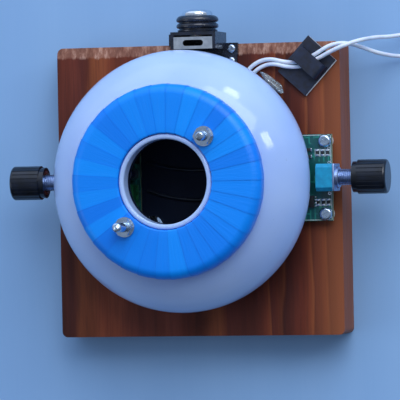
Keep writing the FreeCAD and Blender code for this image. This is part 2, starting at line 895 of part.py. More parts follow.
# ---- leads ----
def route_path(points):
    """Straight runs joined by arcs, each as large as its two runs allow.  Prints the radii."""
    points = [V(*p) for p in points]
    edges, radii = [], []
    last = points[0]
    for before, corner, after in zip(points, points[1:], points[2:]):
        into, out = corner - before, after - corner
        turn = into.getAngle(out)
        reach = 0.45 * min(into.Length, out.Length)
        radii.append(reach / math.tan(turn / 2))
        a, b = corner - into.normalize() * reach, corner + out.normalize() * reach
        centre = corner + ((a - corner) + (b - corner)).normalize() * (radii[-1] / math.cos(turn / 2))
        middle = centre + (corner - centre).normalize() * radii[-1]
        edges.append(Part.LineSegment(last, a).toShape())
        edges.append(Part.Arc(a, middle, b).toShape())
        last = b
    edges.append(Part.LineSegment(last, points[-1]).toShape())
    print("bend radii", [round(r, 1) for r in radii])
    return Part.Wire(edges)


def make_lead(points, radius):
    path = route_path(points)
    way = V(*points[1]) - V(*points[0])
    section = Part.Wire(Part.makeCircle(radius, V(*points[0]), way))
    solid = path.makePipeShell([section], True, False)
    print("lead", round(path.Length, 1), "mm, volume share",
          round(solid.Volume / (math.pi * radius**2 * path.Length), 4))
    return solid


def coil_centre(points):
    """The middle of a coil that a route's last run joins at its side."""
    a, b = V(*points[-2]), V(*points[-1])
    way = V(b.x - a.x, b.y - a.y, 0).normalize()
    outer = coil_mean_r + coil_pitch * (coil_turns_out - 1) / 2
    return V(b.x, b.y, 0) + way * coil_lead_in + V(way.y, -way.x, 0) * outer


def make_coil(points):
    middle = coil_centre(points)
    half = coil_pitch * (coil_turns_out - 1) / 2 + lead_r + 0.15
    height = 2 * lead_r + coil_pitch * (coil_layers - 1) + 0.2
    return tube(middle + UP * floor_gap, UP, coil_mean_r + half, coil_mean_r - half, height)


# ---- glue wedge under the dome's bulge ----
def make_glue():
    low = dome_curve(-0.1, top, top + glue_h)
    a, b = low.Vertexes[0].Point, low.Vertexes[-1].Point
    far = dome_r + glue_out
    edges = [low, line((b.x, b.z), (far - 1.2, b.z)), line((far - 1.2, b.z), (far, top)),
             line((far, top), (a.x, top))]
    wedge = revolve(edges, 0, 0, glue_to - glue_from)
    wedge.rotate(V(0, 0, 0), UP, glue_from)
    wedge.translate(V(dome_x, dome_y, 0))
    return wedge


def make_hookups():
    """Two wires on the board from one circuit board's terminals to the other's."""
    z = top + hookup_r + 0.02
    x0 = -(pcb_edge("left") - pcb_x) + 2.0
    x1 = pcb_edge("right") - pcb_x - 2.0
    wires = []
    for y, sag in ((-4.0, 5.0), (8.0, 4.0)):
        y += module_y
        route = [(x0, y, z), (x0 + 8, y - 0.6 * sag, z), ((x0 + x1) / 2 - 5, y - sag, z),
                 ((x0 + x1) / 2 + 6, y - 0.8 * sag, z), (x1 - 8, y - 0.3 * sag, z), (x1, y + 0.2 * sag, z)]
        wires.append(make_lead(route, hookup_r))
    return Part.makeCompound(wires)


# ---- the whole ----
def module_nodes(side):
    return {
        side + "_circuit_board": make_pcb(side),
        side + "_board_spacers": make_spacers(side),
        side + "_board_screws": make_pcb_screws(side),
        side + "_control_housing": make_pot_body(side),
        side + "_control_bush": make_pot_bush(side),
        side + "_control_pins": make_pins(side),
        side + "_control_shaft": make_shaft(side),
        side + "_terminal_block": make_terminals(side),
        side + "_capacitor": make_capacitor(side),
        side + "_transistor": make_transistor(side),
        side + "_surface_parts": make_chips(side),
        side + "_knob": make_knob(side),
        side + "_knob_insert": make_insert(side),
    }


def all_nodes():
    nodes = {
        "base_board": make_board(),
        "dome_shell": make_dome(),
        "dome_liner": make_liner(),
        "ring_former": make_former(),
        "toroid_core": make_core(),
        "toroid_winding": make_winding(),
        "blue_tape_wrap": make_tape(),
        "clamp_studs": make_studs(),
        "top_washers": washers_at(ring_top),
        "top_nuts": nuts_at(ring_top + washer_t),
        "foot_washers": washers_at(top),
        "foot_nuts": nuts_at(top + washer_t),
        "under_washers": washers_at(counterbore_d - washer_t),
        "under_nuts": nuts_at(counterbore_d - washer_t - nut_t),
        "switch_frame": make_switch_frame(),
        "switch_top_plate": make_switch_plate(),
        "switch_bezel": make_bezel(),
        "switch_cap": make_cap(),
        "switch_plunger": make_plunger(),
        "switch_spring": make_spring(),
        "switch_contacts": make_contacts(),
        "switch_screws": make_switch_screws(),
        "clip_foam_pad": make_foam(),
        "clip_base": make_clip_base(),
        "clip_strap": make_strap(),
        "lead_a": make_lead(lead_a_route, lead_r),
        "lead_b": make_lead(lead_b_route, lead_r),
        "lead_a_coil": make_coil(lead_a_route),
        "lead_b_coil": make_coil(lead_b_route),
        "glue_wedge": make_glue(),
        "hookup_wires": make_hookups(),
    }
    for side in SIDES:
        nodes.update(module_nodes(side))
    return nodes


os.makedirs("parts", exist_ok=True)
for name, shape in all_nodes().items():
    shape.exportStep("parts/" + name + ".step")
    print(name, len(shape.Solids), round(shape.Volume, 1), shape.isValid())
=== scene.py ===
import functools
import math
import random

import bmesh
import bpy
from mathutils import Euler, Matrix, Vector


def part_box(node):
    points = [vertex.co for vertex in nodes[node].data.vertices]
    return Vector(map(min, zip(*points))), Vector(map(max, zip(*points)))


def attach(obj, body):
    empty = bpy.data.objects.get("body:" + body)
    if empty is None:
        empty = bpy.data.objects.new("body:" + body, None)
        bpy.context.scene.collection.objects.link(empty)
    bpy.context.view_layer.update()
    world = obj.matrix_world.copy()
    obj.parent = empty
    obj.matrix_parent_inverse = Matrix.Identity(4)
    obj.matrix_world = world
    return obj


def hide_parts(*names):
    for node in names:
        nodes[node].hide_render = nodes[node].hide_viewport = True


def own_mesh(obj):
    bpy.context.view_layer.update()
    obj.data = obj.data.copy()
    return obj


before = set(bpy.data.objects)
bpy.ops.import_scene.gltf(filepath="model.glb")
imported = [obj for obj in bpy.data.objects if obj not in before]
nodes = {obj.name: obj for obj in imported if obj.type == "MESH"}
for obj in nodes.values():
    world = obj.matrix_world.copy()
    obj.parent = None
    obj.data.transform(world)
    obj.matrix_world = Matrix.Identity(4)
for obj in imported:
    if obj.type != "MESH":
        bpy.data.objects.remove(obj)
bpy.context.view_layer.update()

MM = 0.001
UP = Vector((0, 0, 1))
SIDES = {"right": 1.0, "left": -1.0}

# ---- places, in millimetres, as in the CAD ----
dome_x, dome_y = -3.3, 4.1
dome_foot_r = 51.0
ring_bore, ring_rim = 20.8, 41.8
ring_foot, ring_top = 58.0, 66.4
well_r, coat_top = 18.2, 58.5
stud_pitch_r, stud_turn = 26.0, 47.0
stud_r, stud_low = 2.0, 3.2
m4_pitch = 0.7
stud_tips = {"back": 74.4, "front": 79.9}
module_y, shaft_z = 4.6, 30.0
pcb_top = 23.6
pcb_half = 18.7
lead_r = 0.9
board_top = 19.0


def linear(code):
    """An sRGB hex colour as linear red, green, blue and 1."""
    parts = [int(code[i:i + 2], 16) / 255 for i in (0, 2, 4)]
    return tuple(c / 12.92 if c <= 0.04045 else ((c + 0.055) / 1.055) ** 2.4 for c in parts) + (1.0,)


# ---- camera ----
camera_data = bpy.data.cameras.new("camera")
camera_data.sensor_width = 36.0
camera_data.lens = 358.9
camera_data.clip_end = 20.0
camera = bpy.data.objects.new("camera", camera_data)
camera.location = (0.4323, 0.0043, 1.7026)
camera.rotation_euler = Euler([math.radians(a) for a in (-0.57, 14.39, -1.17)])
bpy.context.scene.collection.objects.link(camera)
bpy.context.scene.camera = camera


# ---- material helpers ----
def add(tree, kind, links=None, ramp=None, take=0, **settings):
    """Adds a shader node and gives its output that take names or counts, or all of them for None.

    Each link is a plain value or another node's output.
    """
    node = tree.nodes.new("ShaderNode" + kind)
    for name, value in settings.items():
        setattr(node, name, value)
    if ramp:
        stops = node.color_ramp.elements
        while len(stops) < len(ramp):
            stops.new(0.5)
        for stop, (position, code) in zip(stops, ramp):
            stop.position = position
            stop.color = linear(code)
    for socket, value in (links or {}).items():
        if isinstance(value, bpy.types.NodeSocket):
            tree.links.new(value, node.inputs[socket])
        else:
            node.inputs[socket].default_value = value
    return node.outputs if take is None else node.outputs[take]


def start_material(name, shader):
    """A material, a maker of its nodes, its main shader and Object coordinates."""
    material = bpy.data.materials.new(name)
    material.use_nodes = True
    surface = material.node_tree.nodes["Principled BSDF"]
    for socket, value in shader.items():
        surface.inputs[socket].default_value = value
    node = functools.partial(add, material.node_tree)
    return material, node, surface, node("TexCoord", take="Object")


def feed(surface, socket, source):
    """Links an output to one of a shader's sockets."""
    surface.id_data.links.new(source, surface.inputs[socket])


def per(size):
    """A texture scale whose pattern repeats about every size millimetres."""
    return 1000.0 / size


def finish_bump(node, surface, height, depth):
    """Relief whose deepest place is depth millimetres."""
    feed(surface, "Normal", node("Bump", {"Height": height, "Distance": depth * MM, "Strength": 1.0}))


def from_dome_middle(node, place):
    """Distance from the dome's upright middle line, in metres."""
    middle = (-dome_x * MM, -dome_y * MM, 0)
    flat = node("Mapping", {"Vector": place, "Location": middle, "Scale": (1, 1, 0)})
    return node("VectorMath", {0: flat}, take="Value", operation="LENGTH")


def plain_finish(name, dark, light, patch, rough, grit, depth, shader, stretch=(1, 1, 1)):
    """A one-colour finish with soft patches, uneven gloss and a fine relief.

    patch and grit are the sizes of the patches and of the relief, and depth is its depth, in millimetres.
    """
    material, node, surface, place = start_material(name, shader)
    placed = node("Mapping", {"Vector": place, "Scale": stretch})
    patches = node("TexNoise", {"Vector": placed, "Scale": per(patch), "Detail": 3.0})
    feed(surface, "Base Color", node("ValToRGB", {"Fac": patches}, ramp=[(0.35, dark), (0.65, light)]))
    grain = node("TexNoise", {"Vector": placed, "Scale": per(grit), "Detail": 4.0})
    feed(surface, "Roughness", node("MapRange", {0: grain, 1: 0.3, 2: 0.7, 3: rough[0], 4: rough[1]}))
    finish_bump(node, surface, grain, depth)
    return material


# ---- materials ----
def stained_pine():
    # Pine plank, brush-stained red-brown and waxed: dark streaks run along the grain, with orange
    # late wood between them, arcs of rings on the end faces and a pale worn strip at the back.
    shader = {"IOR": 1.5, "Specular IOR Level": 0.22}
    material, node, surface, place = start_material("stained_waxed_pine", shader)
    x, y, z = node("SeparateXYZ", {0: place}, take=None)
    loose = node("Mapping", {"Vector": place, "Scale": (1, 0.22, 1)})
    wander = node("TexNoise", {"Vector": loose, "Scale": per(42), "Detail": 3.0}, take="Color")
    pull = node("VectorMath", {0: wander, 1: (0.022, 0.0, 0.022)}, operation="MULTIPLY")
    bent = node("VectorMath", {0: place, 1: pull}, operation="ADD")
    heart = node("Mapping", {"Vector": bent, "Location": (0.012, 0.0, 0.055), "Scale": (1, 0.03, 1)})
    far = node("VectorMath", {0: heart}, take="Value", operation="LENGTH")
    rings = node("Math", {0: far, 1: per(8.0)}, operation="MULTIPLY")
    uneven = node("TexNoise", {"W": rings, "Scale": 0.45, "Detail": 1.0}, noise_dimensions="1D")
    spaced = node("Math", {0: uneven, 1: 3.4, 2: rings}, operation="MULTIPLY_ADD")
    ring = node("Math", {0: spaced}, operation="FRACT")
    wood_tone = node("ValToRGB", {"Fac": ring}, ramp=[
        (0.0, "6a3126"), (0.4, "7a3926"), (0.7, "8d462b"), (0.86, "9e5832"), (0.94, "713524"),
        (1.0, "6a3126")])
    # brushed-on stain lies in broad streaks along the grain
    drawn = node("Mapping", {"Vector": place, "Scale": (1, 0.09, 1)})
    streaks = node("TexNoise", {"Vector": drawn, "Scale": per(15), "Detail": 4.0, "Roughness": 0.55})
    stain = node("ValToRGB", {"Fac": streaks}, ramp=[(0.3, "8f8284"), (0.5, "cdc2be"), (0.7, "ffffff")])
    stained = node("Mix", {0: 1.0, 6: wood_tone, 7: stain}, take=2, data_type="RGBA", blend_type="MULTIPLY")
    # fibres are 0.2 mm wide; drawn at 0.7 mm so that they show
    fibre_place = node("Mapping", {"Vector": place, "Scale": (1, 0.04, 1)})
    fibres = node("TexNoise", {"Vector": fibre_place, "Scale": per(0.7), "Detail": 3.0})
    fibre_dark = node("MapRange", {0: fibres, 1: 0.45, 2: 0.7, 3: 0.0, 4: 0.3})
    fibred = node("Mix", {0: fibre_dark, 6: stained, 7: linear("331a18")}, take=2, data_type="RGBA")
    # painted highlight: the right edge is lighter and more orange, where its rounded edge catches the light
    right_edge_highlight = node("MapRange", {0: x, 1: 0.046, 2: 0.062, 3: 0.0, 4: 0.6})
    edge_highlighted = node("Mix", {0: right_edge_highlight, 6: fibred, 7: linear("a25e3a")}, take=2, data_type="RGBA")
    # the worn strip along the back edge, with scuffs across it
    scuff_place = node("Mapping", {"Vector": place, "Scale": (1, 0.3, 1)})
    scuffs = node("TexNoise", {"Vector": scuff_place, "Scale": per(2.2), "Detail": 5.0, "Roughness": 0.7})
    ragged = node("Math", {0: scuffs, 1: 0.0035, 2: y}, operation="MULTIPLY_ADD")
    strip = node("MapRange", {0: ragged, 1: 0.0602, 2: 0.0612, 3: 0.0, 4: 0.75})
    upper = node("MapRange", {0: z, 1: 0.0160, 2: 0.0175})
    worn = node("Math", {0: strip, 1: upper}, operation="MULTIPLY")
    pale = node("ValToRGB", {"Fac": scuffs}, ramp=[(0.3, "5c3a30"), (0.5, "8f6250"), (0.66, "c49c88")])
    aged = node("Mix", {0: worn, 6: edge_highlighted, 7: pale}, take=2, data_type="RGBA")
    # painted shade: the board inside the dome's foot is near-black blue, for the dark inside of the dome
    inside = {1: dome_foot_r * MM, 2: (dome_foot_r - 3) * MM}
    well_shade_mask = node("MapRange", {0: from_dome_middle(node, place), **inside})
    painted = node("Mix", {0: well_shade_mask, 6: aged, 7: linear("061833")}, take=2, data_type="RGBA")
    # the front and back faces and their rounded edges, across the grain, are darker: partly end grain that
    # takes up more stain, partly painted shade
    facing = node("SeparateXYZ", {0: node("NewGeometry", take="Normal")}, take="Y")
    end = node("Math", {0: facing}, operation="ABSOLUTE")
    end_grain_and_shade = node("MapRange", {0: end, 1: 0.7, 2: 0.95, 3: 0.0, 4: 0.45})
    whole = node("Mix", {0: end_grain_and_shade, 6: painted, 7: linear("2c1512")}, take=2, data_type="RGBA")
    feed(surface, "Base Color", whole)
    feed(surface, "Roughness", node("MapRange", {0: streaks, 1: 0.3, 2: 0.7, 3: 0.62, 4: 0.42}))
    finish_bump(node, surface, node("Math", {0: fibres, 1: ring}, operation="ADD"), 0.06)
    return material


def milky_acrylic():
    # Opal acrylic, vacuum-formed: light sinks a few millimetres in, and the smooth skin is as
    # glossy as glass, with faint waves from the mould that bend its reflections.
    shader = {"IOR": 1.49, "Subsurface Weight": 0.35, "Subsurface Scale": 0.006,
              "Subsurface Radius": (1.0, 1.05, 1.15)}
    material, node, surface, place = start_material("milky_formed_acrylic", shader)
    cloud = node("TexNoise", {"Vector": place, "Scale": per(38), "Detail": 2.0})
    tone = node("ValToRGB", {"Fac": cloud}, ramp=[(0.3, "a3bff4"), (0.7, "b1cbfa")])
    specks = node("TexNoise", {"Vector": place, "Scale": per(0.9), "Detail": 2.0})
    dust = node("MapRange", {0: specks, 1: 0.70, 2: 0.78, 3: 0.0, 4: 0.35})
    dusty = node("Mix", {0: dust, 6: tone, 7: linear("7d93b8")}, take=2, data_type="RGBA")
    # painted shade: the neck's inner wall is near-black below coat_top, continuing the dark inside of the
    # dome
    near = {1: (well_r + 0.5) * MM, 2: (well_r + 0.3) * MM}
    in_neck = node("MapRange", {0: from_dome_middle(node, place), **near})
    height = node("SeparateXYZ", {0: place}, take="Z")
    low_down = node("MapRange", {0: height, 1: (coat_top + 0.5) * MM, 2: (coat_top - 0.5) * MM})
    neck_shade_mask = node("Math", {0: in_neck, 1: low_down}, operation="MULTIPLY")
    painted = node("Mix", {0: neck_shade_mask, 6: dusty, 7: linear("06152e")}, take=2, data_type="RGBA")
    feed(surface, "Base Color", painted)
    haze = node("TexNoise", {"Vector": place, "Scale": per(14), "Detail": 4.0})
    feed(surface, "Roughness", node("MapRange", {0: haze, 1: 0.35, 2: 0.75, 3: 0.05, 4: 0.16}))
    finish_bump(node, surface, cloud, 0.25)
    return material


def blue_vinyl():
    # PVC insulating tape, stretched on by hand: bright blue with a fine calendered grain, each
    # strip a shade of its own, a darker line at its raised edge that is partly glue dirt and partly
    # painted shade, and pulled creases.
    shader = {"IOR": 1.53, "Specular IOR Level": 0.3}
    material, node, surface, place = start_material("blue_vinyl_tape", shader)
    across, along, _ = node("SeparateXYZ", {0: node("UVMap", uv_map="strip")}, take=None)
    turn = node("Math", {0: across}, operation="FLOOR")
    chance = node("TexWhiteNoise", {"W": turn}, noise_dimensions="1D")
    tone = node("ValToRGB", {"Fac": chance}, ramp=[(0.0, "007ae8"), (0.5, "0085f0"), (1.0, "0091f8")])
    local = node("Math", {0: across}, operation="FRACT")
    # the darker line at each strip's raised edge: partly glue dirt, partly painted shade
    edge = node("MapRange", {0: local, 1: 0.08, 2: 0.0, 3: 0.0, 4: 0.22})
    edged = node("Mix", {0: edge, 6: tone, 7: linear("0058c4")}, take=2, data_type="RGBA")
    feed(surface, "Base Color", edged)
    strip_place = node("CombineXYZ", {0: across, 1: along})
    crease_place = node("Mapping", {"Vector": strip_place, "Scale": (9, 2.0, 1)})
    creases = node("TexNoise", {"Vector": crease_place, "Scale": 1.0, "Detail": 3.0})
    grain = node("TexNoise", {"Vector": place, "Scale": per(0.8), "Detail": 2.0})
    feed(surface, "Roughness", node("MapRange", {0: creases, 1: 0.3, 2: 0.7, 3: 0.32, 4: 0.46}))
    finish_bump(node, surface, node("Math", {0: grain, 1: 0.25, 2: creases}, operation="MULTIPLY_ADD"), 0.10)
    return material


def circuit_mask():
    # Glass-epoxy laminate under green solder mask: buried traces show as paler, raised green lines,
    # and the sawn edges show the yellowish laminate.
    shader = {"IOR": 1.55, "Roughness": 0.32, "Coat Weight": 0.3, "Coat Roughness": 0.15}
    material, node, surface, place = start_material("green_solder_mask", shader)
    turned = node("Mapping", {"Vector": place, "Rotation": (0, 0, math.radians(90))})
    gap, line = (0, 0, 0, 1), (1, 1, 1, 1)
    grid = node("TexBrick", {"Vector": turned, "Scale": per(10), "Brick Width": 0.55, "Row Height": 0.21,
                             "Mortar Size": 0.035, "Color1": gap, "Color2": gap, "Mortar": line})
    blotch = node("TexNoise", {"Vector": place, "Scale": per(5), "Detail": 2.0})
    shown = node("MapRange", {0: blotch, 1: 0.45, 2: 0.55})
    traces = node("Math", {0: grid, 1: shown}, operation="MULTIPLY")
    tone = node("Mix", {0: traces, 6: linear("06504c"), 7: linear("1d8070")}, take=2, data_type="RGBA")
    facing = node("SeparateXYZ", {0: node("NewGeometry", take="Normal")}, take="Z")
    level = node("Math", {0: facing}, operation="ABSOLUTE")
    sawn = node("MapRange", {0: level, 1: 0.6, 2: 0.5})
    edged = node("Mix", {0: sawn, 6: tone, 7: linear("93a886")}, take=2, data_type="RGBA")
    feed(surface, "Base Color", edged)
    finish_bump(node, surface, traces, 0.04)
    return material


def clear_hot_melt():
    # Hot-melt glue, squeezed on and left to cool: clear and slightly yellow, with a wavy skin.
    shader = {"IOR": 1.48, "Transmission Weight": 0.8, "Roughness": 0.12}
    material, node, surface, place = start_material("clear_hot_melt_glue", shader)
    waves = node("TexNoise", {"Vector": place, "Scale": per(3), "Detail": 2.0})
    feed(surface, "Base Color", node("ValToRGB", {"Fac": waves}, ramp=[(0.3, "c4cfd6"), (0.7, "e6ebe9")]))
    finish_bump(node, surface, waves, 0.2)
    return material


METAL = {"Metallic": 1.0}
wood = stained_pine()
acrylic = milky_acrylic()
vinyl = blue_vinyl()
mask = circuit_mask()
glue = clear_hot_melt()
# Soft PVC over stranded wire: blue-white and satin, with grey finger marks.
insulation = plain_finish("white_pvc_insulation", "c9d6ea", "e4ecf7", 6.0, (0.3, 0.48), 0.7, 0.03,
                          {"IOR": 1.53, "Subsurface Weight": 0.15, "Subsurface Scale": 0.001})
# Painted shade: the liner inside the shell is near-black and matt, for the dark inside of the dome, with an
# orange-peel relief.
shade_liner_finish = plain_finish("painted_shade_liner", "051630", "081c3a", 9.0, (0.75, 0.92), 0.8, 0.08, {"IOR": 1.5})
# Zinc-plated steel: bright blue-grey, with a fine uneven plating and brushed highlights.
zinc = plain_finish("bright_zinc_plate", "b4c6d8", "c8d8e8", 2.6, (0.12, 0.24), 0.8, 0.006, METAL)
# Polished chrome: near mirror, with hairline scratches.
chrome = plain_finish("polished_chrome", "cfd6dd", "eef2f6", 3.0, (0.05, 0.16), 0.5, 0.006, METAL)
# Nickelled brass bush: blue-grey metal, a little dull from turning.
nickel = plain_finish("turned_nickel", "8fa3c6", "a9bcdc", 2.0, (0.26, 0.38), 0.8, 0.008, METAL)
# Silicon-steel strip core: dull grey with fine wound layers.
core_steel = plain_finish("wound_core_steel", "5f646b", "8b9097", 0.6, (0.4, 0.6), 0.3, 0.03, METAL,
                          (1, 1, 6))
# Tinned copper: soft silver solder coat.
tinned = plain_finish("tinned_copper", "b4b7bb", "dcdfe2", 0.8, (0.25, 0.45), 0.4, 0.03, METAL)
# Enamelled copper magnet wire: warm, glossy varnish over drawn copper.
copper = plain_finish("enamelled_copper", "8a4220", "c06a34", 1.2, (0.2, 0.35), 0.5, 0.05,
                      {"Metallic": 0.9, "Coat Weight": 0.5})
# Pressed brass blades: yellow metal with rolling lines.
brass = plain_finish("rolled_brass", "9c7a35", "c9a555", 1.0, (0.25, 0.42), 0.4, 0.02, METAL, (1, 1, 0.1))
# Spring steel wire: drawn, grey and lightly oiled.
spring_steel = plain_finish("drawn_spring_steel", "6d7278", "9aa0a6", 0.7, (0.25, 0.4), 0.3, 0.02, METAL)
# ABS knob, moulded: blue-black and glossy, polished by fingers.
knob_black = plain_finish("moulded_black_abs", "080d16", "0f1726", 5.0, (0.12, 0.24), 0.5, 0.01,
                          {"IOR": 1.54, "Specular IOR Level": 0.4, "Coat Weight": 0.1})
# Polyamide switch body: gloss black with flow marks.
switch_black = plain_finish("gloss_black_polyamide", "0c111b", "161f31", 4.0, (0.18, 0.34), 0.5, 0.015,
                            {"IOR": 1.53, "Coat Weight": 0.15})
# Moulded nylon clip: black, satin, with grey dust.
clip_black = plain_finish("satin_black_nylon", "080f20", "13203a", 2.4, (0.42, 0.62), 0.6, 0.05,
                          {"IOR": 1.53})
# Closed-cell foam tape: soft black with open pores at its edges.
foam = plain_finish("black_cell_foam", "0c0e12", "23262c", 0.9, (0.8, 0.95), 0.7, 0.12,
                    {"IOR": 1.4, "Sheen Weight": 0.2})
# Siliconed paper left under the pad's edge: thin and white.
liner_paper = plain_finish("white_liner_paper", "c8ccd4", "e9edf2", 2.0, (0.5, 0.7), 0.6, 0.02,
                           {"IOR": 1.45})
# Nylon spacers and stem: waxy white.
nylon = plain_finish("natural_nylon", "c9c8bf", "dcdbd3", 2.0, (0.4, 0.55), 0.5, 0.02,
                     {"IOR": 1.53, "Subsurface Weight": 0.2, "Subsurface Scale": 0.001})
# Spool moulded in dark grey plastic.
spool = plain_finish("dark_spool_plastic", "16181c", "24272c", 3.0, (0.4, 0.6), 0.6, 0.03, {"IOR": 1.5})
# Teal glass-filled nylon control housing: satin, with a faint cloud of fibres.
teal = plain_finish("teal_filled_nylon", "0087b0", "0099c2", 2.5, (0.34, 0.5), 0.5, 0.03, {"IOR": 1.53})
# Green polyamide terminal block.
terminal_green = plain_finish("green_polyamide", "11633a", "1c7a4a", 2.0, (0.35, 0.5), 0.6, 0.03,
                              {"IOR": 1.53})
# Shrink sleeve over an aluminium can: dark blue, tight and glossy.
sleeve = plain_finish("blue_shrink_sleeve", "0a1638", "12245a", 2.5, (0.15, 0.28), 0.6, 0.02,
                      {"IOR": 1.53, "Coat Weight": 0.3})
# Epoxy moulding compound of chips and transistors: matt grey-black.
epoxy = plain_finish("black_moulding_epoxy", "101214", "1d2023", 1.2, (0.5, 0.7), 0.3, 0.03, {"IOR": 1.55})
# Solder and tinned pads: soft bright grey.
solder = plain_finish("bright_solder", "c3ccd4", "dde4ea", 0.9, (0.22, 0.34), 0.8, 0.01, METAL)
# Screen-printed white ink outlines.
white_ink = plain_finish("white_legend_ink", "d6e0de", "eaf2f0", 0.8, (0.5, 0.65), 0.3, 0.01, {"IOR": 1.5})
# PVC hook-up wire, dark blue: near-black as painted shade, for the dark inside of the dome.
hookup = plain_finish("hookup_wire_painted_shade", "0c1626", "16263c", 8.0, (0.3, 0.45), 0.7, 0.02, {"IOR": 1.53})


# ---- mesh helpers: every shape is made in millimetres ----
def make_piece(name, shape, material, body="root", stands_for=(), corner=35.0):
    """A finished bmesh as an object in metres that rides on a body; edges past corner degrees stay sharp."""
    bmesh.ops.remove_doubles(shape, verts=shape.verts, dist=0.0005)
    bmesh.ops.recalc_face_normals(shape, faces=shape.faces)
    bmesh.ops.scale(shape, vec=(MM, MM, MM), verts=shape.verts)
    for face in shape.faces:
        face.smooth = True
    for edge in shape.edges:
        edge.smooth = edge.calc_face_angle(0.0) < math.radians(corner)
    mesh = bpy.data.meshes.new(name)
    shape.to_mesh(mesh)
    shape.free()
    piece = bpy.data.objects.new(name, mesh)
    bpy.context.scene.collection.objects.link(piece)
    settle(piece, material, body, stands_for)
    return piece


def settle(piece, material, body="root", stands_for=()):
    """Gives a piece its material, sets it on its body and hides the CAD parts that it stands for."""
    piece.data.materials.append(material)
    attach(piece, body)
    if stands_for:
        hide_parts(*stands_for)


def spun(outline, closed=True, steps=64, angle=360.0, rise=0.0):
    """An outline of (radius, height) points spun about Z; rise lifts it at each step."""
    shape = bmesh.new()
    dots = [shape.verts.new((r, 0, z)) for r, z in outline]
    pairs = list(zip(dots, dots[1:] + dots[:1])) if closed else list(zip(dots, dots[1:]))
    edges = [shape.edges.new(pair) for pair in pairs]
    full = angle == 360.0 and rise == 0.0
    bmesh.ops.spin(shape, geom=dots + edges, cent=(0, 0, 0), axis=(0, 0, 1), dvec=(0, 0, rise),
                   angle=math.radians(angle), steps=steps, use_merge=full, use_duplicate=False)
    bmesh.ops.remove_doubles(shape, verts=shape.verts, dist=0.0005)
    return shape


def put(shape, place, axis=UP):
    """Turns a shape's Z to an axis and moves it to a place."""
    turn = UP.rotation_difference(Vector(axis)).to_matrix().to_4x4()
    bmesh.ops.transform(shape, matrix=Matrix.Translation(Vector(place)) @ turn, verts=shape.verts)
    return shape


def join(shape, other):
    """Copies another bmesh into shape and frees it."""
    spare = bpy.data.meshes.new("spare")
    other.to_mesh(spare)
    other.free()
    shape.from_mesh(spare)
    bpy.data.meshes.remove(spare)
    return shape


def slab(size, place, edge=0.0, turn=0.0):
    """A block with rounded edges, its middle at place, turned about Z."""
    shape = bmesh.new()
    bmesh.ops.create_cube(shape, size=1.0)
    bmesh.ops.scale(shape, vec=size, verts=shape.verts)
    if edge:
        bmesh.ops.bevel(shape, geom=shape.edges[:], offset=edge, segments=2, profile=0.5, affect="EDGES",
                        material=-1)
    turned = Matrix.Translation(Vector(place)) @ Matrix.Rotation(math.radians(turn), 4, "Z")
    bmesh.ops.transform(shape, matrix=turned, verts=shape.verts)
    return shape


def threaded_rod(crest, pitch, length, tip=0.5, steps=20):
    """A rod along Z from 0 to length, cut with a real spiral thread, its ends tapered."""
    root = crest - 0.55 * pitch
    turns = math.ceil(length / pitch) + 2
    outline = [(root, 0.0), (root, pitch * 0.15), (crest, pitch * 0.5), (crest, pitch * 0.62),
               (root, pitch)]
    shape = spun(outline, closed=False, steps=steps * turns, angle=360.0 * turns, rise=pitch / steps)
    bmesh.ops.translate(shape, vec=(0, 0, -pitch), verts=shape.verts)
    for height, way in ((0.0, -1), (length, 1)):
        geom = shape.verts[:] + shape.edges[:] + shape.faces[:]
        bmesh.ops.bisect_plane(shape, geom=geom, dist=1e-5, plane_co=(0, 0, height), plane_no=(0, 0, way),
                               clear_outer=True, clear_inner=False)
    bmesh.ops.holes_fill(shape, edges=[e for e in shape.edges if len(e.link_faces) == 1], sides=0)
    for vert in shape.verts:
        near_end = min(vert.co.z, length - vert.co.z)
        if near_end < tip:
            shrink = 1 - 0.28 * (1 - near_end / tip)
            vert.co.x *= shrink
            vert.co.y *= shrink
    return shape


def stud_place(name, z=0.0):
    """The place of a stud's middle line, at a height."""
    turn = math.radians(stud_turn + (180 if name == "front" else 0))
    return Vector((dome_x + stud_pitch_r * math.cos(turn), dome_y + stud_pitch_r * math.sin(turn), z))


# ---- twin leads: routes close to the CAD's, in metres, then the coils' turns on the same lines ----
lead_routes = {
    "a": [(0.0172, 0.0436, 0.0202), (0.0216, 0.0502, 0.0207), (0.0268, 0.0550, 0.0216),
          (0.0333, 0.0566, 0.0222), (0.0401, 0.0547, 0.0225), (0.0468, 0.0546, 0.0224),
          (0.0534, 0.0576, 0.0225), (0.0594, 0.0614, 0.0229), (0.0660, 0.0627, 0.0228),
          (0.0726, 0.0609, 0.0194), (0.0782, 0.0583, 0.0134), (0.0838, 0.0568, 0.0064),
          (0.0910, 0.0564, 0.0018), (0.0994, 0.0576, 0.00094), (0.1074, 0.0560, 0.00094)],
    "b": [(0.0194, 0.0422, 0.0202), (0.0236, 0.0486, 0.0207), (0.0287, 0.0530, 0.0216),
          (0.0345, 0.0545, 0.0222), (0.0407, 0.0527, 0.0225), (0.0473, 0.0525, 0.0224),
          (0.0542, 0.0556, 0.0229), (0.0604, 0.0586, 0.0250), (0.0666, 0.0611, 0.0265),
          (0.0732, 0.0634, 0.0236), (0.0790, 0.0647, 0.0166), (0.0844, 0.0650, 0.0090),
          (0.0910, 0.0664, 0.0026), (0.0988, 0.0724, 0.00094), (0.1064, 0.0776, 0.00094)],
}
coil_outer = 0.0119
coil_pitch = 0.0019
coil_lead_in = 0.0062
coil_turns = 8
points_per_turn = 14
bare_r = 0.45


def coil_section(turn):
    """Radius and height in the winding after so many turns, wound in and out in three layers."""
    layer, along = divmod(turn, 3.0)
    outward = int(layer) % 2 == 1
    inner = coil_outer - 2 * coil_pitch
    if along <= 2.0:
        radius = inner + along * coil_pitch if outward else coil_outer - along * coil_pitch
        return radius, layer * coil_pitch
    climb = (along - 2.0) * math.pi / 2
    before = coil_pitch * (along - 1.0)
    beside = inner + before if outward else coil_outer - before
    step = coil_pitch * math.cos(climb)
    return (beside + step if outward else beside - step), (layer + math.sin(climb)) * coil_pitch


